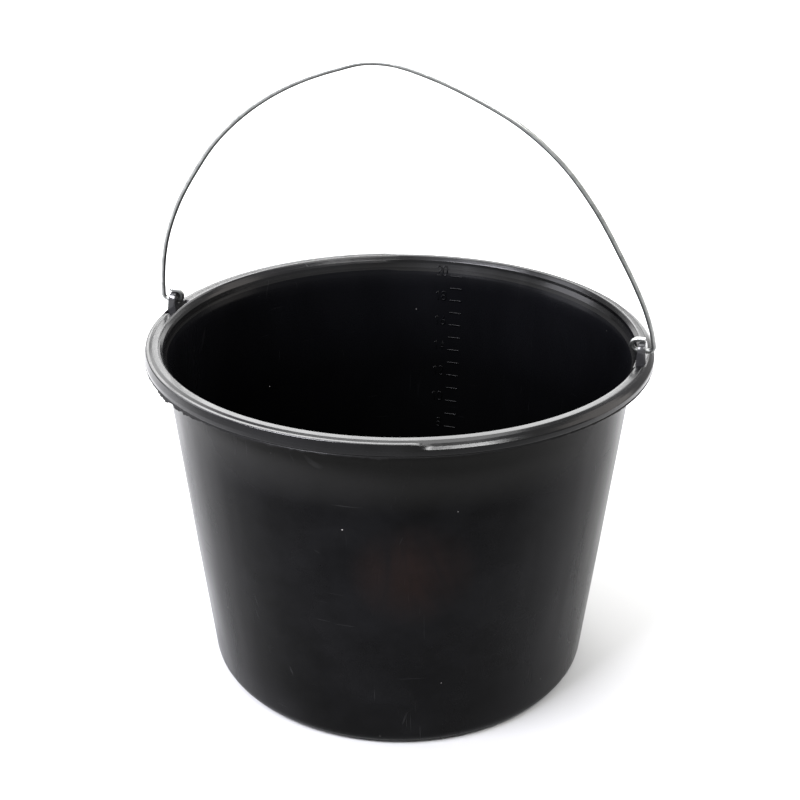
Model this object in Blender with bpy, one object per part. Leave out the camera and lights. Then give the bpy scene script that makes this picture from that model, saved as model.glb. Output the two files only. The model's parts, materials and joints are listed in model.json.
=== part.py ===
"""Twenty-litre florist bucket: one injection-moulded tub and one bent wire bail.

Origin at the middle of the underside, +Z up.  The two ears stand on the +X and -X sides,
so the bail turns about the X axis.  Metres throughout; the constants are in millimetres.
"""
import math

import bmesh
import bpy
from mathutils import Matrix, Vector

MM = 0.001

# tub
RIM_TOP_Z = 266.6        # height over the rim
RIM_OUTER_R = 189.6      # outside of the skirt
LIP_R = 175.7            # clear radius inside the lip
FOOT_R = 150.0           # outer wall carried down to the floor plane
WALL_SLOPE = 0.0975      # radius gained per unit of height
WALL = 2.6
FLOOR = 4.0              # top of the floor inside
FOOT_ROUND = 10.0        # outer corner between wall and underside
FOOT_RING_R = 128.0      # inner edge of the ring it stands on
PANEL_RISE = 1.5         # how far the middle of the underside is lifted
SKIRT_Z = 256.8          # lower edge of the skirt
COLLAR_Z = 251.0         # where the collar under the lip runs into the inner wall
AROUND = 72              # flats around the turned body

# ears and the pockets they stand in
PIVOT_Z = 272.5          # hole centre, also the hinge line
EAR_R = 182.0            # distance of the ear's middle plane from the axis
EAR_HEAD_R = 7.6         # round head about the hole
EAR_THICK_FOOT = 6.8
EAR_THICK_TOP = 5.2
HOLE_R = 2.1
POCKET_FLOOR_Z = 263.6
POCKET_HALF_LENGTH = 15.5
POCKET_IN_R = 178.2
POCKET_OUT_R = 185.8

# litre scale moulded inside, midway between the ears
SCALE_AZIMUTH = 89.4
TICK_LENGTH = 10.4
TICK_HEIGHT = 1.0
RAISE = 0.5
DIGIT_CELL = (1.5, 1.7)  # width and height of one cell of a 3 x 5 numeral
LITRES = range(1, 21)

# bail
WIRE_R = 1.75
LEG_X = 190.9            # leg outside the ear
BEND_R = 4.5             # leg turning in towards the ear
HOOK_R = 9.75            # returned end runs this far from the hinge line
HOOK_TIP_X = 184.4
CURL_X = 177.8           # where the curl inside the ear starts and ends
LEAN = 15.0              # resting lean of the bail towards -Y, degrees
# shape of the arch: angle above the hinge line at the tub's axis, and distance from there
ARCH = [(3.2, 190.3), (15.0, 186.0), (28.0, 183.4), (42.0, 185.8), (58.0, 192.8), (75.0, 201.0), (90.0, 208.5)]


def clear_scene():
    for ob in list(bpy.data.objects):
        bpy.data.objects.remove(ob, do_unlink=True)


def paint(ob, name, rgb, metallic, rough):
    mat = bpy.data.materials.new(name)
    mat.use_nodes = True
    bsdf = mat.node_tree.nodes["Principled BSDF"]
    bsdf.inputs["Base Color"].default_value = (*rgb, 1.0)
    bsdf.inputs["Metallic"].default_value = metallic
    bsdf.inputs["Roughness"].default_value = rough
    ob.data.materials.clear()
    ob.data.materials.append(mat)


def mesh_object(name, bm):
    bmesh.ops.recalc_face_normals(bm, faces=bm.faces)
    mesh = bpy.data.meshes.new(name)
    bm.to_mesh(mesh)
    bm.free()
    ob = bpy.data.objects.new(name, mesh)
    bpy.context.collection.objects.link(ob)
    return ob


def combine(target, tools, operation):
    """Exact boolean of each tool with the target; the tools are used up."""
    for tool in tools:
        mod = target.modifiers.new("solid", "BOOLEAN")
        mod.operation = operation
        mod.solver = "EXACT"
        mod.object = tool
        bpy.context.view_layer.update()
        ev = target.evaluated_get(bpy.context.evaluated_depsgraph_get())
        mesh = bpy.data.meshes.new_from_object(ev)
        target.modifiers.remove(mod)
        target.data = mesh
        bpy.data.objects.remove(tool, do_unlink=True)


def wall_outer(z):
    return FOOT_R + WALL_SLOPE * z


def wall_inner(z):
    return wall_outer(z) - WALL


def corner(z_flat, wall, radius, steps):
    """Round between a flat at z_flat (coming from the axis) and a sloping wall line."""
    slope = math.atan(WALL_SLOPE)
    zc = z_flat + radius
    rc = wall(zc) - radius / math.cos(slope)
    first, last = -math.pi / 2, -slope
    arc = [first + (last - first) * i / steps for i in range(steps + 1)]
    return [(rc + radius * math.cos(a), zc + radius * math.sin(a)) for a in arc]


def tub_section():
    """Closed half section, from the axis under the floor round to the axis above it."""
    under = [(0.0, PANEL_RISE), (FOOT_RING_R - 2.0, PANEL_RISE), (FOOT_RING_R, 0.0)]
    outside = corner(0.0, wall_outer, FOOT_ROUND, 6)
    rim_under = [
        (wall_outer(252.4), 252.4), (176.0, 255.6), (178.4, 258.4), (178.7, 262.2),
        (180.2, 264.0), (185.4, 264.0), (187.3, 261.6), (187.5, SKIRT_Z),
    ]
    rim_over = [
        (RIM_OUTER_R, SKIRT_Z), (RIM_OUTER_R, 261.2), (189.0, 263.4), (187.9, 265.3),
        (186.5, 266.3), (184.9, 266.4), (183.2, 266.0), (181.5, 266.4), (179.6, RIM_TOP_Z),
        (178.0, 265.7), (176.5, 263.7), (LIP_R, 261.0),
    ]
    inside = [(174.9, 258.4), (173.6, 255.6), (wall_inner(COLLAR_Z), COLLAR_Z)]
    inner_corner = corner(FLOOR, wall_inner, FOOT_ROUND - WALL, 5)[::-1]
    return under + outside + rim_under + rim_over + inside + inner_corner + [(0.0, FLOOR)]


def turned(name, section, around):
    """Spin a half section, whose two ends lie on the axis, into a closed body."""
    bm = bmesh.new()
    verts = [bm.verts.new((r * MM, 0.0, z * MM)) for r, z in section]
    edges = [bm.edges.new(pair) for pair in zip(verts, verts[1:])]
    bmesh.ops.spin(bm, geom=verts + edges, cent=(0, 0, 0), axis=(0, 0, 1), angle=2 * math.pi,
                   steps=around, use_merge=True, use_duplicate=False)
    bmesh.ops.remove_doubles(bm, verts=bm.verts, dist=1e-6)
    return mesh_object(name, bm)


def prism(name, outline, low, high, place):
    """Closed prism of an outline; place(u, v, w) turns each corner into a point in millimetres."""
    bm = bmesh.new()
    ends = [[bm.verts.new(Vector(place(u, v, w)) * MM) for u, v in outline] for w in (low, high)]
    bm.faces.new(ends[0])
    bm.faces.new(ends[1][::-1])
    for i in range(len(outline)):
        j = (i + 1) % len(outline)
        bm.faces.new((ends[0][i], ends[0][j], ends[1][j], ends[1][i]))
    return mesh_object(name, bm)


def arc_band(r_in, r_out, half_length, round_r, steps=10):
    """Outline in plan of a slot that follows the rim, with rounded ends."""
    mid = (r_in + r_out) / 2
    half = math.degrees((half_length - round_r) / mid)
    turn = [math.radians(-half + 2 * half * i / steps) for i in range(steps + 1)]
    outer = [(r_out * math.cos(a), r_out * math.sin(a)) for a in turn]
    inner = [(r_in * math.cos(a), r_in * math.sin(a)) for a in reversed(turn)]
    caps = []
    for side in (1, -1):
        a = math.radians(half) * side
        cap = []
        for i in range(1, 6):
            t = math.pi * i / 6
            radial = mid + (r_out - r_in) / 2 * math.cos(t) * side
            along = round_r * math.sin(t) * side
            cap.append((radial * math.cos(a) - along * math.sin(a), radial * math.sin(a) + along * math.cos(a)))
        caps.append(cap)
    return outer + caps[0] + inner + caps[1]


def ear_tools(side):
    """Solid foot, pocket cutter, ear and hole cutter for the ear on the given side of X."""
    def flat(u, v, w):
        return (side * u, v, w)

    foot = prism("foot", arc_band(178.0, 187.4, POCKET_HALF_LENGTH + 2.5, 3.0), 258.0, 265.0, flat)
    slot = arc_band(POCKET_IN_R, POCKET_OUT_R, POCKET_HALF_LENGTH, 3.4)
    pocket = prism("pocket", slot, POCKET_FLOOR_Z, RIM_TOP_Z + 4.0, flat)
    outline = [(-EAR_HEAD_R, POCKET_FLOOR_Z - 2.0), (EAR_HEAD_R, POCKET_FLOOR_Z - 2.0)]
    for i in range(15):
        t = math.pi * i / 14
        outline.append((EAR_HEAD_R * math.cos(t), PIVOT_Z + EAR_HEAD_R * math.sin(t)))
    rise = PIVOT_Z + EAR_HEAD_R - POCKET_FLOOR_Z

    def thick(u, v, w):
        part = (v - POCKET_FLOOR_Z) / rise
        half = (EAR_THICK_FOOT + (EAR_THICK_TOP - EAR_THICK_FOOT) * part) / 2
        return (side * (EAR_R + w * half), u, v)

    ear = prism("ear", outline, -1.0, 1.0, thick)
    circle = [(HOLE_R * math.cos(t), PIVOT_Z + HOLE_R * math.sin(t))
              for t in (2 * math.pi * k / 20 for k in range(20))]
    hole = prism("hole", circle, EAR_R - 8.0, EAR_R + 8.0, lambda u, v, w: (side * w, u, v))
    return foot, pocket, ear, hole


def litre_height(litres):
    """Height above the ground of the surface of so many litres standing in the tub."""
    r0 = wall_inner(FLOOR)
    cubic = r0 ** 3 + 3 * WALL_SLOPE * litres * 1e6 / math.pi
    return FLOOR + (cubic ** (1 / 3) - r0) / WALL_SLOPE


NUMERALS = {
    "0": ("111", "101", "101", "101", "111"),
    "1": ("010", "010", "010", "010", "010"),
    "2": ("111", "001", "111", "100", "111"),
    "4": ("101", "101", "111", "001", "001"),
    "6": ("111", "100", "111", "101", "111"),
    "8": ("111", "101", "111", "101", "111"),
}


def cells_solid(rows, place):
    """Raised numeral: the filled cells of a small grid joined into one closed solid."""
    bm = bmesh.new()
    cw, ch = DIGIT_CELL
    corners = {}

    def point(i, j, w):
        if (i, j, w) not in corners:
            corners[(i, j, w)] = bm.verts.new(Vector(place(i * cw, j * ch, w)) * MM)
        return corners[(i, j, w)]

    filled = {(c, len(rows) - 1 - r) for r, row in enumerate(rows) for c, v in enumerate(row) if v == "1"}
    for i, j in filled:
        ring = [(i, j), (i + 1, j), (i + 1, j + 1), (i, j + 1)]
        for w in (0, 1):
            bm.faces.new([point(a, b, w) for a, b in ring])
        for k, (di, dj) in enumerate(((0, -1), (1, 0), (0, 1), (-1, 0))):
            if (i + di, j + dj) not in filled:
                a, b = ring[k], ring[(k + 1) % 4]
                bm.faces.new((point(*a, 0), point(*b, 0), point(*b, 1), point(*a, 1)))
    return mesh_object("numeral", bm)


def scale_tools():
    """Ticks for every litre, numerals for the even ones, all standing RAISE off the inner wall."""
    turn = Matrix.Rotation(math.radians(SCALE_AZIMUTH), 3, "Z")
    tools = []
    for litres in LITRES:
        z0 = litre_height(litres)

        def on_wall(across, up, w, z0=z0):
            depth = wall_inner(z0 + up) + 0.9 - w * (0.9 + RAISE)
            return turn @ Vector((depth, across, z0 + up))

        half = TICK_LENGTH / 2
        tick = [(-half, -TICK_HEIGHT), (half, -TICK_HEIGHT), (half, 0.0), (-half, 0.0)]
        tools.append(prism("tick", tick, 0, 1, on_wall))
        if litres % 2:
            continue
        start = half + 3.6
        for k, figure in enumerate(reversed(str(litres))):
            right = start + k * 4 * DIGIT_CELL[0]
            tools.append(cells_solid(
                NUMERALS[figure],
                lambda a, b, w, right=right: on_wall(right + 3 * DIGIT_CELL[0] - a, b - 0.6, w)))
    return tools


def arc(cx, cz, r, first, last, steps):
    turn = [math.radians(first + (last - first) * i / steps) for i in range(steps + 1)]
    return [(cx + r * math.cos(t), cz + r * math.sin(t)) for t in turn]


def through(knots, spans, steps):
    """Smooth values between polar knots (angle, radius); the first and last knots only guide."""
    points = []
    for i in range(1, spans + 1):
        (a0, r0), (a1, r1), (a2, r2), (a3, r3) = knots[i - 1:i + 3]
        lean1 = (r2 - r0) / (a2 - a0) * (a2 - a1)
        lean2 = (r3 - r1) / (a3 - a1) * (a2 - a1)
        for s in range(steps):
            t = s / steps
            r = ((2 * t ** 3 - 3 * t ** 2 + 1) * r1 + (t ** 3 - 2 * t ** 2 + t) * lean1
                 + (3 * t ** 2 - 2 * t ** 3) * r2 + (t ** 3 - t ** 2) * lean2)
            a = math.radians(a1 + (a2 - a1) * t)
            points.append((r * math.cos(a), r * math.sin(a)))
    return points


def bail_path():
    """Centre line of the wire in its own plane: (along X, above the hinge line)."""
    curl = HOOK_R / 2
    hook = [(HOOK_TIP_X, HOOK_R), (CURL_X + 2.0, HOOK_R)] + arc(CURL_X, curl, curl, 90.0, 270.0, 12)
    bend = [(CURL_X + 4.0, 0.0)] + arc(LEG_X - BEND_R, BEND_R, BEND_R, -90.0, 0.0, 6)
    guide = [(-ARCH[0][0], LEG_X)] + ARCH + [(180.0 - ARCH[-2][0], ARCH[-2][1])]
    half = hook + bend + through(guide, len(ARCH) - 1, 6)
    return half + [(0.0, ARCH[-1][1])] + [(-x, z) for x, z in reversed(half)]


def bail():
    """Round wire swept along its centre line; the object's origin lies on the hinge line."""
    path = bail_path()
    curve = bpy.data.curves.new("wire_bail", "CURVE")
    curve.dimensions = "3D"
    spline = curve.splines.new("POLY")
    spline.points.add(len(path) - 1)
    for point, (x, z) in zip(spline.points, path):
        point.co = (x * MM, 0.0, z * MM, 1.0)
    curve.bevel_depth = WIRE_R * MM
    curve.bevel_resolution = 4
    curve.use_fill_caps = True
    ob = bpy.data.objects.new("wire_bail", curve)
    ob.location = (0.0, 0.0, PIVOT_Z * MM)
    ob.rotation_euler = (math.radians(LEAN), 0.0, 0.0)
    bpy.context.collection.objects.link(ob)
    return ob


def finish(ob, angle):
    """Tidy the solid the booleans left and shade it smooth apart from its real edges."""
    bm = bmesh.new()
    bm.from_mesh(ob.data)
    bmesh.ops.remove_doubles(bm, verts=bm.verts, dist=1e-6)
    bmesh.ops.dissolve_degenerate(bm, edges=bm.edges, dist=1e-6)
    bmesh.ops.triangulate(bm, faces=[f for f in bm.faces if len(f.verts) > 4])
    bm.to_mesh(ob.data)
    bm.free()
    ob.data.name = ob.name
    ob.data.shade_smooth()
    ob.data.set_sharp_from_angle(angle=math.radians(angle))


def bucket():
    tub = turned("bucket_body", tub_section(), AROUND)
    feet, pockets, ears, holes = zip(*(ear_tools(side) for side in (1, -1)))
    combine(tub, feet, "UNION")
    combine(tub, pockets, "DIFFERENCE")
    combine(tub, ears, "UNION")
    combine(tub, holes, "DIFFERENCE")
    combine(tub, scale_tools(), "UNION")
    finish(tub, 32.0)
    return tub


clear_scene()
paint(bucket(), "bucket_black_plastic", (0.018, 0.018, 0.02), 0.0, 0.38)
paint(bail(), "bail_galvanised_steel", (0.42, 0.43, 0.42), 1.0, 0.36)
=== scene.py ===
"""Looks of a twenty-litre florist bucket: black moulded tub, galvanised wire bail, white studio floor.

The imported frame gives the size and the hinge; everything else here is in millimetres on that frame.
"""
import json
import math

import bmesh
import bpy
import numpy as np
from mathutils import Euler, Matrix, Vector, noise


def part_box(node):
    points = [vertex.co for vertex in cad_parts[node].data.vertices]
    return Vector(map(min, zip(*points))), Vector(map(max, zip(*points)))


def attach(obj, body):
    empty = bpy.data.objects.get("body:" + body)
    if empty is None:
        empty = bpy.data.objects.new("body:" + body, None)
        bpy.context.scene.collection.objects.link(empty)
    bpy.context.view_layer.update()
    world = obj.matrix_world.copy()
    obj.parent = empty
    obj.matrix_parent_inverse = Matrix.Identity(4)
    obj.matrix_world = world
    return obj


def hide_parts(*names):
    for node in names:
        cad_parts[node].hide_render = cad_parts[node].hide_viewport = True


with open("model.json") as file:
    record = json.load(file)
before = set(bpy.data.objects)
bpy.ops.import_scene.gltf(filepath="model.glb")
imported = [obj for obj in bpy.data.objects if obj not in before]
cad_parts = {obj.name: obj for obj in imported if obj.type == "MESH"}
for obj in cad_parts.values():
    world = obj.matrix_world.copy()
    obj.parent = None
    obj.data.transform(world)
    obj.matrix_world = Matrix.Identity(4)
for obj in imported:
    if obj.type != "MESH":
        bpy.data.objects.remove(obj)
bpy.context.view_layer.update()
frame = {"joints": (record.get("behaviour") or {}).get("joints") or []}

MM = 0.001
_, TUB_HIGH = (np.array(corner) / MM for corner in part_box("bucket_body"))
RIM_R = TUB_HIGH[0]                  # outside of the skirt
EAR_TOP_Z = TUB_HIGH[2]
HINGE_Z = frame["joints"][0]["pos_m"][2] / MM
LEAN = 15.0                          # the bail's resting lean towards -Y, degrees

# tub, as in the CAD
RIM_TOP_Z = 266.6
SKIRT_Z = 256.8
COLLAR_Z = 251.0
FOOT_R = 150.0
WALL_SLOPE = 0.0975
WALL_BOW = 0.6
MIDDLE_R = 165                       # wall half way up
WALL_FROM_R = 120.0                  # what lies further out than this is wall or rim, not floor
WALL = 2.6
FLOOR = 4.0
PANEL_RISE = 1.5
FOOT_RING_R = 128.0

# ears and pockets, as in the CAD
EAR_R = 182.0
EAR_HEAD_R = EAR_TOP_Z - HINGE_Z
EAR_SHIFT = -1.5                     # both ears sit this far along X, mm
EAR_THICK_FOOT = 6.4
EAR_THICK_TOP = 4.6
EAR_SPLAY = 1.4                      # extra at the foot on the outer side
EAR_ROUND = 0.7
EAR_SUNK = 1.5                       # the ear's foot goes this far into its pocket's floor
EYE_R = 2.1
POCKET_FLOOR_Z = 263.6
POCKET_HALF_LENGTH = 15.5
POCKET_MID_R = 182.0
POCKET_HALF_WIDTH = 3.8
BOSS_Z = 258.0                       # underside of the solid foot under each ear
BOSS_HALF_LENGTH = 18.0

# litre scale
SCALE_AZIMUTH = 89.4
TICK_LENGTH = 10.4
FIGURE_HEIGHT = 7.6
FIGURE_WIDTH = 3.7
FIGURE_PITCH = 5.2
FIGURE_GAP = 3.8                     # from a tick to the figure beside it
STROKE_R = 0.7

# bail
WIRE_R = 1.75
LEG_X = 190.9
BEND_R = 4.5
HOOK_R = 9.75
HOOK_TIP_X = 184.4
CURL_X = 180.0
SLIDE_X = -2.0                       # the bail sits slid this far along its slack

# camera, placed for the photograph's view
CAMERA_AZIMUTH = 16.2
CAMERA_BACK = 890.9
CAMERA_HEIGHT = 620.9
CAMERA_PITCH = -24.78
CAMERA_ROLL = 0.216
CAMERA_TURN = 16.165                 # heading, a hair off the bucket's middle
LENS = 57.22

# studio
PAPER_HALF = 15.0                    # half of the paper's side, metres
FLOOR_GAP = 0.3                      # the paper lies this far under the foot
PAPER_AZIMUTH = 14.0                 # the paper darkens towards this side
PAPER_SCALE = 0.2                    # ramp places per metre
# how pale the paper is (albedo) at distances behind the bucket's middle, metres
FLOOR_TONES = [(-0.9, 0.16), (-0.45, 0.13), (-0.23, 0.27), (0.0, 0.42), (0.3, 0.55), (1.2, 0.50)]
# how strongly the paper glows, painted light, at distances from the bucket's middle, metres
FAR_GLOW = [(0.5, 0.0), (1.0, 0.35), (2.0, 0.8), (3.6, 1.0)]
SKY_STRENGTH = 0.60
AIM_HEIGHT = 0.2                     # the softboxes point at this height, metres
COOL, WARM = (0.93, 0.93, 1.0), (1.0, 0.93, 0.88)

# painted light on the tub
POLISHED_Z = 258.5                   # from here up the tub takes a lit copy of its plastic, a stronger specular level for brighter highlights
RUST_BLOOM = (55.6, -155.3, 156.0)   # middle of a faint reddish-brown painted reflection on the front of the wall


def smoothstep(low, high, x):
    t = np.clip((x - low) / (high - low), 0.0, 1.0)
    return t * t * (3 - 2 * t)


# ---------------------------------------------------------------- materials

class Nodes:
    """Short hand for building a material's node tree."""

    def __init__(self, name):
        self.mat = bpy.data.materials.new(name)
        self.mat.use_nodes = True
        self.tree = self.mat.node_tree
        self.bsdf = self.tree.nodes["Principled BSDF"]
        self.at = self.add("ShaderNodeTexCoord").outputs["Object"]

    def add(self, kind, **settings):
        node = self.tree.nodes.new(kind)
        for key, value in settings.items():
            if key == "operation":
                node.operation = value
            else:
                self.put(node.inputs[key.replace("_", " ")], value)
        return node

    def put(self, socket, value):
        if isinstance(value, bpy.types.NodeSocket):
            self.tree.links.new(value, socket)
        elif isinstance(value, tuple) and len(value) == 3 and socket.type == "RGBA":
            socket.default_value = (*value, 1.0)
        else:
            socket.default_value = value

    def mapped(self, scale, turn=(0.0, 0.0, 0.0)):
        return self.add("ShaderNodeMapping", Vector=self.at, Scale=scale, Rotation=turn).outputs["Vector"]

    def noise(self, vector, scale, detail=3.0, rough=0.5, distort=0.0):
        node = self.add("ShaderNodeTexNoise", Vector=vector, Scale=scale, Detail=detail, Roughness=rough,
                        Distortion=distort)
        return node.outputs["Fac"]

    def ramp(self, fac, stops):
        """Grey ramp through (place, value) stops."""
        node = self.add("ShaderNodeValToRGB", Fac=fac)
        elements = node.color_ramp.elements
        while len(elements) < len(stops):
            elements.new(0.5)
        for element, (place, value) in zip(elements, stops):
            element.position = place
            element.color = (value, value, value, 1.0)
        return node.outputs["Color"]

    def math(self, operation, a, b=0.0):
        node = self.add("ShaderNodeMath", operation=operation)
        self.put(node.inputs[0], a)
        self.put(node.inputs[1], b)
        return node.outputs["Value"]

    def mix(self, fac, a, b):
        node = self.tree.nodes.new("ShaderNodeMix")
        node.data_type = "RGBA"
        self.put(node.inputs["Factor"], fac)
        self.put(node.inputs["A"], a)
        self.put(node.inputs["B"], b)
        return node.outputs["Result"]

    def bump(self, height, strength, depth, under=None):
        node = self.add("ShaderNodeBump", Height=height, Strength=strength, Distance=depth)
        if under is not None:
            self.put(node.inputs["Normal"], under)
        return node.outputs["Normal"]

    def surface(self, **values):
        for key, value in values.items():
            self.put(self.bsdf.inputs[key.replace("_", " ")], value)
        return self.mat


# three runs of fine scratches: direction, stretch and seed
SCRATCHES = [((0.3, 0.9, 0.2), (900.0, 26.0, 26.0), 0.0), ((1.1, 0.2, 0.9), (24.0, 820.0, 30.0), 3.0),
             ((0.5, 1.3, 1.9), (30.0, 22.0, 760.0), 7.0)]


def black_plastic(name, specular, dusty=0.0):
    """Recycled polypropylene: near black, semi-gloss, with haze, scuffs, fine scratches and dust.

    Also painted light: a painted reflection in a lighter band outside just under the rim and in a reddish-brown
    patch on the front of the wall, painted shade that darkens the inside towards the bottom, and a painted sheen,
    by the third argument, that lightens the whole piece.  The tub's wall is told from its inside by the distance
    from the axis, so one material covers both.
    """
    n = Nodes(name)
    haze = n.noise(n.mapped((9.0, 9.0, 6.0)), 1.0, 4.0, 0.6, 0.4)
    flow = n.noise(n.mapped((30.0, 30.0, 7.0)), 1.0, 5.0, 0.62, 0.8)
    grain = n.noise(n.at, 900.0, 2.0, 0.5)
    peel = n.noise(n.at, 260.0, 3.0, 0.55)
    scratch = None
    for turn, scale, seed in SCRATCHES:
        lines = n.noise(n.mapped(scale, turn), 1.0, 1.0, 0.4)
        patch = n.noise(n.mapped((17.0, 17.0, 17.0), (seed, 0.0, seed)), 1.0, 2.0, 0.5)
        thin = n.math("MULTIPLY", n.ramp(lines, [(0.745, 0.0), (0.78, 1.0)]),
                      n.ramp(patch, [(0.54, 0.0), (0.66, 1.0)]))
        scratch = thin if scratch is None else n.math("MAXIMUM", scratch, thin)
    specks = n.add("ShaderNodeTexVoronoi", Vector=n.at, Scale=95.0)
    far = n.ramp(specks.outputs["Distance"], [(0.035, 1.0), (0.06, 0.0)])
    chosen = n.ramp(n.math("MULTIPLY", specks.outputs["Color"], 1.0), [(0.80, 0.0), (0.83, 1.0)])
    dust = n.math("MULTIPLY", far, chosen)
    broad = n.noise(n.mapped((6.0, 6.0, 8.0), (0.4, 0.3, 0.0)), 1.0, 6.0, 0.62)
    at = n.add("ShaderNodeSeparateXYZ", Vector=n.at)
    height = at.outputs["Z"]
    x2, y2 = n.math("POWER", at.outputs["X"], 2.0), n.math("POWER", at.outputs["Y"], 2.0)
    radius = n.math("POWER", n.math("ADD", x2, y2), 0.5)
    outside = n.math("GREATER_THAN", n.math("SUBTRACT", radius, n.math("MULTIPLY", height, WALL_SLOPE)),
                     (FOOT_R - WALL / 2) * MM)
    cloud = n.math("MULTIPLY", n.ramp(broad, [(0.42, 0.0), (0.62, 1.0)]), outside)
    # painted reflection: the outside wall is painted lighter in a band just under the rim
    high = n.ramp(height, [(0.205, 0.0), (0.246, 0.8), (0.262, 0.0)])
    # painted shade: the inside is painted darker towards the bottom and lighter up towards the rim
    deep = n.ramp(height, [(0.06, 0.0), (0.17, 0.25), (0.25, 1.0)])
    colour = n.mix(n.math("MULTIPLY", haze, deep), (0.0003, 0.0003, 0.0003), (0.0034, 0.0035, 0.0044))
    colour = n.mix(outside, colour, n.mix(haze, (0.0002, 0.0002, 0.0003), (0.0008, 0.0008, 0.0008)))
    colour = n.mix(cloud, colour, (0.0040, 0.0040, 0.0045))
    # the painted reflection under the rim, on the outside only
    colour = n.mix(n.math("MULTIPLY", high, outside), colour, (0.0190, 0.0188, 0.0180))
    # painted reflection: a faint reddish-brown patch on the front of the wall, mottled by the flow noise
    measure = n.add("ShaderNodeVectorMath", operation="DISTANCE")
    n.put(measure.inputs[0], n.at)
    measure.inputs[1].default_value = [v * MM for v in RUST_BLOOM]
    away = measure.outputs["Value"]
    bloom = n.math("MULTIPLY", n.ramp(away, [(0.010, 0.75), (0.045, 0.0)]), n.ramp(flow, [(0.35, 0.3), (0.6, 1.0)]))
    colour = n.mix(bloom, colour, (0.0125, 0.0070, 0.0058))
    # painted sheen: lightens the whole piece towards a mid grey, by the amount given
    colour = n.mix(dusty, colour, (0.035, 0.035, 0.037))
    colour = n.mix(n.math("MULTIPLY", scratch, n.mix(outside, (0.03, 0.03, 0.03), (0.16, 0.16, 0.16))), colour,
                   (0.06, 0.06, 0.062))
    colour = n.mix(n.math("MULTIPLY", dust, 0.8), colour, (0.30, 0.29, 0.28))
    rough = n.ramp(n.math("ADD", n.math("MULTIPLY", flow, 0.6), n.math("MULTIPLY", haze, 0.4)),
                   [(0.30, 0.18), (0.72, 0.32)])
    rough = n.math("ADD", rough, n.math("MULTIPLY", n.math("MAXIMUM", scratch, dust), 0.25))
    rough = n.math("SUBTRACT", rough, n.ramp(height, [(0.252, 0.0), (0.262, 0.04)]))
    normal = n.bump(peel, 0.10, 0.0004)
    normal = n.bump(grain, 0.06, 0.0002, normal)
    normal = n.bump(n.math("MULTIPLY", scratch, -1.0), 0.15, 0.00008, normal)
    return n.surface(Base_Color=colour, Roughness=rough, Normal=normal, Specular_IOR_Level=specular, IOR=1.49)


def galvanised_wire(name):
    """Drawn wire with a dull zinc coat, faint drawing lines and darker pickled patches."""
    n = Nodes(name)
    patch = n.noise(n.mapped((120.0, 120.0, 120.0)), 1.0, 4.0, 0.6, 0.5)
    fine = n.noise(n.mapped((1500.0, 1500.0, 1500.0)), 1.0, 3.0, 0.6)
    spangle = n.add("ShaderNodeTexVoronoi", Vector=n.at, Scale=1100.0).outputs["Color"]
    tone = n.math("ADD", n.math("MULTIPLY", patch, 0.9), n.math("MULTIPLY", spangle, 0.1))
    colour = n.mix(n.ramp(tone, [(0.3, 0.0), (0.7, 1.0)]), (0.20, 0.205, 0.20), (0.42, 0.43, 0.42))
    rough = n.ramp(tone, [(0.25, 0.44), (0.75, 0.28)])
    normal = n.bump(fine, 0.12, 0.0002)
    normal = n.bump(patch, 0.2, 0.0004, normal)
    return n.surface(Base_Color=colour, Roughness=rough, Normal=normal, Metallic=1.0)


def studio_paper(name):
    """Pale paper: painted shade makes it darker close in front of the bucket, so that the front of the tub reflects
    darkness, and it glows far out, painted light, so that it stays white there.
    """
    n = Nodes(name)
    turned = n.add("ShaderNodeMapping", Vector=n.at, Rotation=(0.0, 0.0, -math.radians(PAPER_AZIMUTH)))
    depth = n.add("ShaderNodeSeparateXYZ", Vector=turned.outputs["Vector"]).outputs["Y"]
    reach = n.math("ADD", n.math("MULTIPLY", depth, PAPER_SCALE), PAPER_SCALE)
    tone = n.ramp(reach, [(PAPER_SCALE + PAPER_SCALE * y, albedo) for y, albedo in FLOOR_TONES])
    distance = n.add("ShaderNodeVectorMath", operation="LENGTH", Vector=n.at).outputs["Value"]
    glow = n.ramp(n.math("MULTIPLY", distance, PAPER_SCALE), [(PAPER_SCALE * d, light) for d, light in FAR_GLOW])
    return n.surface(Base_Color=tone, Roughness=0.85, Specular_IOR_Level=0.1, Emission_Color=glow,
                     Emission_Strength=1.0)


# The specular levels were set for this studio's light.  A measured plastic would have 0.5.
BLACK = black_plastic("black_plastic", 0.06)
# the ears: a lit copy of the plastic, with a stronger specular level and a painted sheen that lightens their colour
EAR_BLACK = black_plastic("black_plastic_ear", 0.60, 0.4)
# the rim: a lit copy of the same plastic, with a stronger specular level for brighter highlights
RIM_BLACK = black_plastic("black_plastic_rim", 0.30)
ZINC = galvanised_wire("galvanised_wire")


def place(ob, body, slot, material, replaces=()):
    """Puts a finished piece in the scene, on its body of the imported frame."""
    ob.data.materials.append(material)
    bpy.context.collection.objects.link(ob)
    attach(ob, body)
    if replaces:
        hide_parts(*replaces)
    return ob


# ---------------------------------------------------------------- tub

def wall_outer(z):
    return FOOT_R + WALL_SLOPE * z


def barrel(z):
    """How far the moulded wall bows out at height z."""
    return WALL_BOW * smoothstep(30.0, 120.0, z) * (1 - smoothstep(225.0, 252.0, z))


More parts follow.
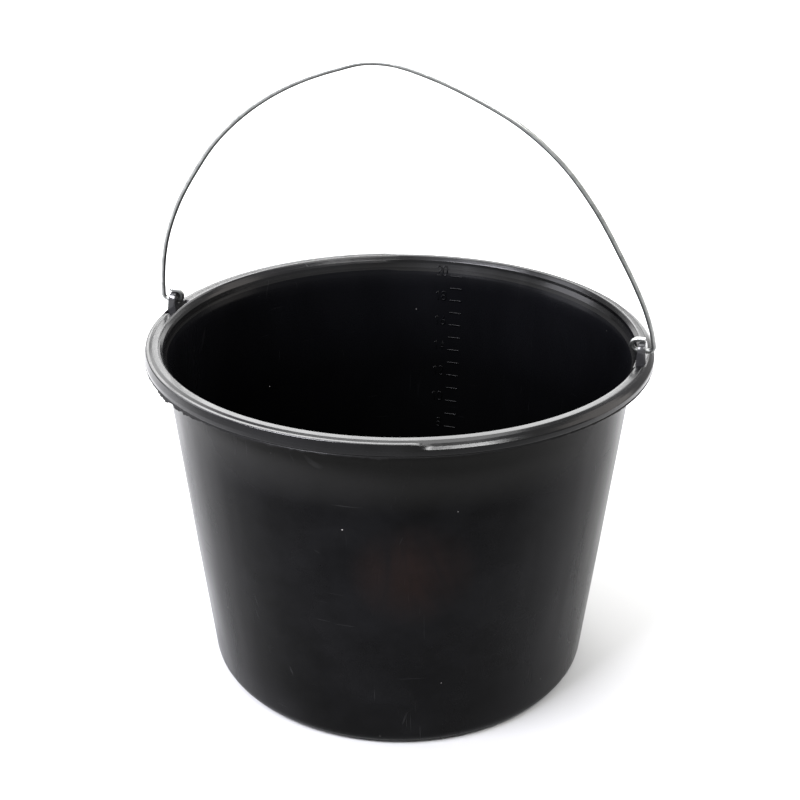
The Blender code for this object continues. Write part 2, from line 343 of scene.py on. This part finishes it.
def rounded(corners, parts, arc_steps=5):
    """Outline through corners (r, z, radius), each rounded; every straight run is split into `parts`."""
    corners = np.array(corners)
    runs = [corners[:1, :2]]
    for before, here, after in zip(corners, corners[1:], corners[2:]):
        back, on = before[:2] - here[:2], after[:2] - here[:2]
        shorter = min(np.linalg.norm(back), np.linalg.norm(on))
        back, on = back / np.linalg.norm(back), on / np.linalg.norm(on)
        half = math.acos(np.clip(back @ on, -1, 1)) / 2
        reach = max(min(here[2] / math.tan(half), 0.49 * shorter), 0.02 * shorter)
        # quadratic curve between the two tangent points: near enough to an arc, and safe on a straight line
        t = np.arange(arc_steps + 1)[:, None] / arc_steps
        first, last = here[:2] + back * reach, here[:2] + on * reach
        bend = (1 - t) ** 2 * first + 2 * t * (1 - t) * here[:2] + t ** 2 * last
        runs += [straight(runs[-1][-1], bend[0], parts), bend[1:]]
    return np.concatenate(runs + [straight(runs[-1][-1], corners[-1, :2], parts)])


def straight(first, last, parts):
    step = np.arange(1, parts + 1)[:, None] / parts
    return first + (last - first) * step


# outline of the rim, (r, z, rounding): skirt with its flash line, crest, lip and collar.  The rim comes
# out of a split mould, and the two halves of the mould aren't quite alike.
SKIRT = [(187.5, SKIRT_Z, 0), (189.3, SKIRT_Z - 0.1, 0.2), (189.5, SKIRT_Z + 0.5, 0.15),
         (189.15, SKIRT_Z + 1.0, 0.2), (189.5, SKIRT_Z + 1.9, 0.4)]
RIM_SHARP = SKIRT + [
    (RIM_R, 261.3, 0.6), (189.1, 263.2, 1.0), (188.3, 266.0, 0.9), (185.7, 265.9, 1.4), (183.7, RIM_TOP_Z, 1.8),
    (179.2, RIM_TOP_Z, 1.4), (178.0, 265.6, 0.8), (176.2, 263.4, 0.9), (175.2, 261.4, 0.9), (174.3, 257.4, 2.5),
    (wall_outer(COLLAR_Z) - WALL, COLLAR_Z, 0)]
RIM_SOFT = SKIRT + [
    (RIM_R, 261.6, 0.5), (189.2, 262.4, 0.3), (187.6, 264.0, 0.9), (185.9, 265.3, 1.4), (183.6, 266.4, 2.2),
    (179.2, RIM_TOP_Z, 1.2), (178.6, 266.0, 0.6), (176.7, 263.6, 0.6), (176.2, 261.2, 0.9), (174.8, 257.4, 2.5),
    (wall_outer(COLLAR_Z) - WALL, COLLAR_Z, 0)]


def tub_section():
    """Half section in three runs: under and outside, over the rim (two kinds), then down the inside."""
    outside = rounded([
        (0.0, PANEL_RISE, 0), (FOOT_RING_R - 2.0, PANEL_RISE, 1.2), (FOOT_RING_R, 0.0, 0.8),
        (FOOT_R, 0.0, 10.0), (wall_outer(252.6), 252.6, 2.5), (178.6, 258.6, 2.0), (178.7, 264.1, 1.5),
        (185.6, 264.1, 1.8), SKIRT[0]], 10)
    inside = rounded([
        RIM_SOFT[-1], (FOOT_R - WALL + WALL_SLOPE * FLOOR, FLOOR, 7.4), (0.0, FLOOR, 0)], 24)
    return outside, rounded(RIM_SHARP, 3)[1:], rounded(RIM_SOFT, 3)[1:], inside[1:]


SEAM_AZIMUTH = 290.6                 # one of the two places where the rim's mould halves meet, degrees
TORN_AZIMUTH = 232.0                 # where the skirt's flash is torn and longest
BACK_LIFT = 0.6                      # the rim sits this much higher at the back
WITNESS_Z, WITNESS_DEPTH = 25.0, 0.16
COLUMN_STEP, FINE_STEP = 0.5, 0.125  # degrees


def apart(azimuth, other):
    """Signed angle from other to azimuth, degrees."""
    return (azimuth - other + 180.0) % 360.0 - 180.0


def columns():
    """Azimuths of the tub's columns: coarse round the wall, fine beside the ears and the rim's joints."""
    turn = [0.0]
    while turn[-1] < 360.0:
        a = turn[-1]
        ear = min(abs(apart(a, c)) for c in (0.0, 180.0))
        seam = min(abs(apart(a, SEAM_AZIMUTH + c)) for c in (0.0, 180.0))
        turn.append(a + (FINE_STEP if ear < 6.5 or seam < 0.75 else COLUMN_STEP))
    return np.radians(np.array(turn[:-1]))


def field(azimuth, height, across, up, seed):
    """Smooth noise on the round wall: features `across` and `up` millimetres in size."""
    azimuth, height = np.broadcast_arrays(azimuth, height)
    points = zip(azimuth.ravel(), height.ravel())
    values = [noise.noise(Vector((math.cos(a) * MIDDLE_R / across, math.sin(a) * MIDDLE_R / across, z / up + seed)))
              for a, z in points]
    return np.array(values).reshape(azimuth.shape)


def tub_mesh():
    outside, sharp, soft, inside = tub_section()
    a = columns()[:, None]
    degrees = np.degrees(a)
    half = apart(degrees, SEAM_AZIMUTH)
    blend = (smoothstep(-2.2, 2.0, half) * (1 - smoothstep(175.0, 180.0, half)))[:, :, None]
    rim = sharp * (1 - blend) + soft * blend
    whole = [np.broadcast_to(part, (len(a), *part.shape)) for part in (outside, inside)]
    section = np.concatenate([whole[0], rim, whole[1]], 1)
    r, z = section[:, :, 0].copy(), section[:, :, 1].copy()
    row = np.arange(r.shape[1])[None, :]
    count_out, count_rim = len(outside), len(sharp)
    on_rim = (row >= count_out) & (row < count_out + count_rim)
    base_r, base_z = r.copy(), z.copy()
    ring = np.zeros((1, 1))

    # thin moulded wall: a slight barrel and slow waves, the same inside and out
    lattice = np.linspace(0.0, 270.0, 46)
    levels = lattice[None, :]
    waves = 0.30 * field(a, levels, 34.0, 90.0, 2.0) + 0.12 * field(a, levels, 13.0, 60.0, 9.0)
    span = smoothstep(15.0, 70.0, z) * (1 - smoothstep(235.0, 252.0, z))
    for k in range(len(a)):
        r[k] += span[k] * np.interp(z[k], lattice, waves[k]) * (base_r[k] > WALL_FROM_R)
    r += barrel(z) * (base_r > WALL_FROM_R)

    # witness line of the base insert low on the outside
    r -= WITNESS_DEPTH * np.exp(-((z - WITNESS_Z) / 0.5) ** 2) * (row < count_out) * (base_r > FOOT_R)

    # flash along the skirt's lower edge, ragged, and torn in one place
    rag = 0.5 + 0.9 * field(a, ring, 3.2, 1.0, 30.0) + 0.6 * field(a, ring, 1.1, 1.0, 50.0)
    much = 0.25 + 0.75 * (1 - blend[:, :, 0]) * smoothstep(-0.3, 0.3, field(a, ring, 30.0, 1.0, 70.0))
    torn = np.exp(-(apart(degrees, TORN_AZIMUTH) / 7.0) ** 2)
    rag = np.clip(rag, 0.05, 1.3) * np.clip(much + 1.2 * torn, 0, 1.6)
    edge = np.exp(-((base_z - SKIRT_Z) / 0.45) ** 2) * on_rim * (base_r > 188.6)
    z -= edge * 1.1 * rag
    r += edge * 0.75 * rag

    # the rim sits a little high at the back
    z += BACK_LIFT * smoothstep(-0.5, 1.0, np.sin(a)) * smoothstep(245.0, 262.0, base_z)

    # pockets cut into the rim for the ears, and the solid feet under them
    for ear in (0.0, 180.0):
        along = np.radians(apart(degrees, ear)) * POCKET_MID_R
        past = np.clip(np.abs(along) - (POCKET_HALF_LENGTH - POCKET_HALF_WIDTH), 0, None)
        middle = POCKET_MID_R + EAR_SHIFT * math.cos(math.radians(ear))
        distance = np.hypot(past, r - middle) - POCKET_HALF_WIDTH
        sunk = (1 - smoothstep(-0.45, 0.45, distance)) * on_rim * (z > 262.0)
        z += sunk * (POCKET_FLOOR_Z - z)
        solid = (1 - smoothstep(-0.5, 0.5, np.abs(along) - BOSS_HALF_LENGTH)) * (row < count_out)
        z -= solid * (base_r > 178.0) * (base_z > BOSS_Z) * (base_z - BOSS_Z)
    return a, r, z


def grid_object(name, a, r, z):
    """Closed turned surface from rings of points; the first and last rows lie on the axis.

    Faces above POLISHED_Z take the second material, a lit copy of the same plastic.
    """
    across, down = r.shape
    x, y = r[:, 1:-1] * np.cos(a), r[:, 1:-1] * np.sin(a)
    body = np.stack([x, y, z[:, 1:-1]], -1).reshape(-1, 3)
    verts = np.concatenate([body, [[0, 0, z[0, 0]], [0, 0, z[0, -1]]]]) * MM
    inner = down - 2
    faces = []
    for k in range(across):
        n = (k + 1) % across
        first, second = k * inner, n * inner
        faces.append((len(body), second, first))
        faces.append((len(body) + 1, first + inner - 1, second + inner - 1))
        faces += [(first + j, second + j, second + j + 1, first + j + 1) for j in range(inner - 1)]
    mesh = bpy.data.meshes.new(name)
    mesh.from_pydata(verts.tolist(), [], faces)
    mesh.validate()
    polished = [int(face.center.z > POLISHED_Z * MM) for face in mesh.polygons]
    mesh.polygons.foreach_set("material_index", polished)
    mesh.shade_smooth()
    mesh.set_sharp_from_angle(angle=math.radians(50))
    return bpy.data.objects.new(name, mesh)


def make_tub():
    a, r, z = tub_mesh()
    shell = place(grid_object("bucket_shell", a, r, z), "tub", "black_plastic", BLACK, ["bucket_body"])
    shell.data.materials.append(RIM_BLACK)


# ---------------------------------------------------------------- ears

def make_ear(name, side):
    """Round-headed lug with an eye for the wire, standing in its pocket."""
    count = 96
    foot = HINGE_Z - POCKET_FLOOR_Z + EAR_SUNK
    rise = EAR_TOP_Z - POCKET_FLOOR_Z
    bm = bmesh.new()
    rings = {}
    for w in (-1, 1):
        outer, eye = [], []
        for k in range(count):
            t = 2 * math.pi * k / count
            c, s = math.cos(t), math.sin(t)
            reach = EAR_HEAD_R
            if s < 0:
                reach = min(EAR_HEAD_R / max(abs(c), 1e-6), foot / -s)
            for radius, ring in ((reach, outer), (EYE_R, eye)):
                y, up = radius * c, HINGE_Z + radius * s
                part = (up - POCKET_FLOOR_Z) / rise
                half = (EAR_THICK_FOOT + (EAR_THICK_TOP - EAR_THICK_FOOT) * part) / 2
                half += EAR_SPLAY * max(1 - part, 0) * (w == 1)
                ring.append(bm.verts.new(Vector((side * (EAR_R + w * half) + EAR_SHIFT, y, up)) * MM))
        rings[w] = outer, eye
    for k in range(count):
        n = (k + 1) % count
        for w in (-1, 1):
            outer, eye = rings[w]
            bm.faces.new((outer[k], outer[n], eye[n], eye[k]))
        for which in (0, 1):
            low, high = rings[-1][which], rings[1][which]
            bm.faces.new((low[k], low[n], high[n], high[k]))
    bmesh.ops.recalc_face_normals(bm, faces=bm.faces)
    mesh = bpy.data.meshes.new(name)
    bm.to_mesh(mesh)
    bm.free()
    mesh.shade_smooth()
    ear = bpy.data.objects.new(name, mesh)
    bevel = ear.modifiers.new("soft_edges", "BEVEL")
    bevel.width = EAR_ROUND * MM
    bevel.segments = 3
    bevel.limit_method = "ANGLE"
    bevel.angle_limit = math.radians(50)
    place(ear, "tub", "black_plastic", EAR_BLACK)


# ---------------------------------------------------------------- litre scale

def litre_height(litres):
    r0 = wall_outer(FLOOR) - WALL
    cubic = r0 ** 3 + 3 * WALL_SLOPE * litres * 1e6 / math.pi
    return FLOOR + (cubic ** (1 / 3) - r0) / WALL_SLOPE


def bow(cx, cy, rx, ry, first, last, steps=10):
    turn = [math.radians(first + (last - first) * i / steps) for i in range(steps + 1)]
    return [(cx + rx * math.cos(t), cy + ry * math.sin(t)) for t in turn]


# strokes of the figures in a box one unit wide and two units tall
FIGURES = {
    "0": [bow(0.5, 1.5, 0.5, 0.5, 0, 180) + bow(0.5, 0.5, 0.5, 0.5, 180, 360) + [(1.0, 1.5)]],
    "1": [[(0.15, 1.55), (0.6, 2.0), (0.6, 0.0)]],
    "2": [bow(0.5, 1.5, 0.5, 0.5, 165, -35) + [(0.0, 0.0), (1.0, 0.0)]],
    "4": [[(0.75, 0.0), (0.75, 2.0), (0.0, 0.6), (1.0, 0.6)]],
    "6": [[(0.85, 2.0)] + bow(0.5, 0.55, 0.5, 0.55, 150, 510, 20)],
    "8": [bow(0.5, 1.5, 0.42, 0.5, -90, 270, 18), bow(0.5, 0.5, 0.5, 0.5, 90, 450, 18)],
}


def inner_radius(z):
    """Inside of the tub at the back, as tub_mesh shapes it: barrelled wall, then the collar under the rim."""
    if z < COLLAR_Z:
        return wall_outer(z) - WALL + barrel(z)
    collar = sorted((height, radius) for radius, height, _ in RIM_SOFT[-3:])
    return np.interp(z - BACK_LIFT * smoothstep(245.0, 262.0, z), *np.transpose(collar))


def make_scale():
    """Raised ticks at every litre and figures at the even ones, on the inside wall."""
    curve = bpy.data.curves.new("litre_scale", "CURVE")
    curve.dimensions = "3D"
    curve.bevel_depth = STROKE_R * MM
    curve.bevel_resolution = 2
    curve.use_fill_caps = True

    def stroke(points):
        spline = curve.splines.new("POLY")
        spline.points.add(len(points) - 1)
        for point, (across, z) in zip(spline.points, points):
            r = inner_radius(z)
            a = math.radians(SCALE_AZIMUTH) + across / r
            point.co = (r * math.cos(a) * MM, r * math.sin(a) * MM, z * MM, 1.0)

    for litres in range(1, 21):
        z0 = litre_height(litres)
        stroke([(-TICK_LENGTH / 2 + TICK_LENGTH * k / 4, z0) for k in range(5)])
        if litres % 2:
            continue
        for place_from_right, figure in enumerate(reversed(str(litres))):
            left = TICK_LENGTH / 2 + FIGURE_GAP + place_from_right * FIGURE_PITCH + FIGURE_WIDTH
            for line in FIGURES[figure]:
                stroke([(left - u * FIGURE_WIDTH, z0 + v * FIGURE_HEIGHT / 2) for u, v in line])
    scale = bpy.data.objects.new("litre_scale", curve)
    place(scale, "tub", "black_plastic", BLACK)


# ---------------------------------------------------------------- bail

def through(knots, steps):
    """Smooth run through (angle, distance) knots; the first and last knots only guide."""
    points = []
    for i in range(1, len(knots) - 2):
        (a0, r0), (a1, r1), (a2, r2), (a3, r3) = knots[i - 1:i + 3]
        lean1 = (r2 - r0) / (a2 - a0) * (a2 - a1)
        lean2 = (r3 - r1) / (a3 - a1) * (a2 - a1)
        for s in range(steps):
            t = s / steps
            r = ((2 * t ** 3 - 3 * t ** 2 + 1) * r1 + (t ** 3 - 2 * t ** 2 + t) * lean1
                 + (3 * t ** 2 - 2 * t ** 3) * r2 + (t ** 3 - t ** 2) * lean2)
            a = math.radians(a1 + (a2 - a1) * t)
            points.append((r * math.cos(a), r * math.sin(a)))
    return points


def bail_path():
    """Wire centre line in its own plane, from the +X hook round to the -X one: (x, above the hinge)."""
    curl = HOOK_R / 2
    hook = [(HOOK_TIP_X, HOOK_R), (CURL_X + 2.0, HOOK_R)] + bow(CURL_X, curl, curl, curl, 90, 270, 16)
    bend = [(CURL_X + 4.0, 0.0)] + bow(LEG_X - BEND_R, BEND_R, BEND_R, BEND_R, -90, 0, 8)
    end = hook + bend
    # Angle above the hinge line and distance from its middle.  Not a free design: a measuring script's trace of
    # the photographed wire, rounded and evened out afterwards.  The +X shoulder is flatter than the -X one.
    arch = [(2.9, 190.2), (9.0, 187.4), (18.0, 183.4), (27.0, 181.9), (39.0, 185.1), (50.0, 190.6), (60.5, 195.4),
            (70.0, 198.9), (79.0, 203.9), (85.5, 207.9), (88.8, 208.7), (92.5, 208.0), (97.5, 204.4),
            (109.0, 197.9), (121.0, 192.0), (131.5, 187.9), (141.0, 184.9), (152.5, 184.9), (162.5, 186.5),
            (171.5, 188.6), (177.1, 190.3)]
    run = through([(-2.9, LEG_X)] + arch + [(182.9, LEG_X)], 8)
    return end + run + [(-x, z) for x, z in reversed(end)]


def make_bail():
    lean = Matrix.Rotation(math.radians(LEAN), 3, "X")
    curve = bpy.data.curves.new("bail_wire", "CURVE")
    curve.dimensions = "3D"
    curve.bevel_depth = WIRE_R * MM
    curve.bevel_resolution = 6
    curve.use_fill_caps = True
    path = bail_path()
    spline = curve.splines.new("POLY")
    spline.points.add(len(path) - 1)
    for point, (x, z) in zip(spline.points, path):
        at = lean @ Vector((x + SLIDE_X, 0.0, z)) + Vector((0.0, 0.0, HINGE_Z))
        point.co = (*(at * MM), 1.0)
    wire = bpy.data.objects.new("bail_wire", curve)
    place(wire, "bail", "galvanised_wire", ZINC, ["wire_bail"])


# ---------------------------------------------------------------- studio

def make_floor():
    bm = bmesh.new()
    bmesh.ops.create_grid(bm, x_segments=1, y_segments=1, size=PAPER_HALF)
    mesh = bpy.data.meshes.new("studio_floor")
    bm.to_mesh(mesh)
    bm.free()
    floor = bpy.data.objects.new("studio_floor", mesh)
    floor.location.z = -FLOOR_GAP * MM
    bpy.context.collection.objects.link(floor)
    mesh.materials.append(studio_paper("studio_floor"))


def area_light(name, azimuth, elevation, distance, size, watts, colour=(1.0, 1.0, 1.0)):
    """Softbox aimed at the bucket: degrees, metres, watts.  Azimuth 0 is the camera's own side, 90 its right."""
    light = bpy.data.lights.new(name, "AREA")
    light.shape = "RECTANGLE"
    light.size, light.size_y = size
    light.energy = watts
    light.color = colour
    ob = bpy.data.objects.new(name, light)
    turn = math.radians(CAMERA_AZIMUTH + azimuth)
    lift = math.radians(elevation)
    aim = Vector((0.0, 0.0, AIM_HEIGHT))
    offset = Vector((math.sin(turn) * math.cos(lift), -math.cos(turn) * math.cos(lift), math.sin(lift)))
    ob.location = aim + distance * offset
    ob.rotation_euler = (-offset).to_track_quat("-Z", "Y").to_euler()
    bpy.context.collection.objects.link(ob)


def make_lights():
    world = bpy.data.worlds.new("studio")
    bpy.context.scene.world = world
    world.use_nodes = True
    background = world.node_tree.nodes["Background"]
    background.inputs["Color"].default_value = (1.0, 1.0, 1.0, 1.0)
    background.inputs["Strength"].default_value = SKY_STRENGTH
    area_light("back", 180.0, 37.0, 2.4, (3.2, 1.3), 47.0)
    area_light("back_core", 180.0, 37.0, 2.38, (1.3, 1.3), 22.0)
    area_light("top", 180.0, 84.0, 2.0, (1.6, 1.3), 38.0)
    area_light("left", -100.0, 25.0, 2.2, (1.2, 1.6), 30.0, COOL)
    area_light("right", 100.0, 25.0, 2.2, (1.2, 1.6), 12.0, WARM)
    area_light("strip_left", -52.0, 44.0, 2.2, (1.2, 0.6), 150.0, COOL)
    area_light("strip_right", 30.0, 52.0, 2.2, (1.1, 0.4), 45.0)
    area_light("low", 180.0, 8.0, 2.4, (2.6, 0.5), 9.0)


def make_camera():
    data = bpy.data.cameras.new("camera")
    data.lens = LENS
    data.sensor_width = 36.0
    data.clip_start = 0.01
    camera = bpy.data.objects.new("camera", data)
    turn = math.radians(CAMERA_AZIMUTH)
    camera.location = Vector((math.sin(turn) * CAMERA_BACK, -math.cos(turn) * CAMERA_BACK, CAMERA_HEIGHT)) * MM
    tilt = Euler((math.radians(90.0 + CAMERA_PITCH), 0.0, math.radians(CAMERA_TURN))).to_matrix()
    camera.rotation_euler = (tilt @ Matrix.Rotation(math.radians(CAMERA_ROLL), 3, "Z")).to_euler()
    bpy.context.collection.objects.link(camera)
    bpy.context.scene.camera = camera


make_tub()
make_ear("ear_right", 1)
make_ear("ear_left", -1)
make_scale()
make_bail()
make_floor()
make_lights()
make_camera()
bpy.context.scene.view_settings.view_transform = "Standard"
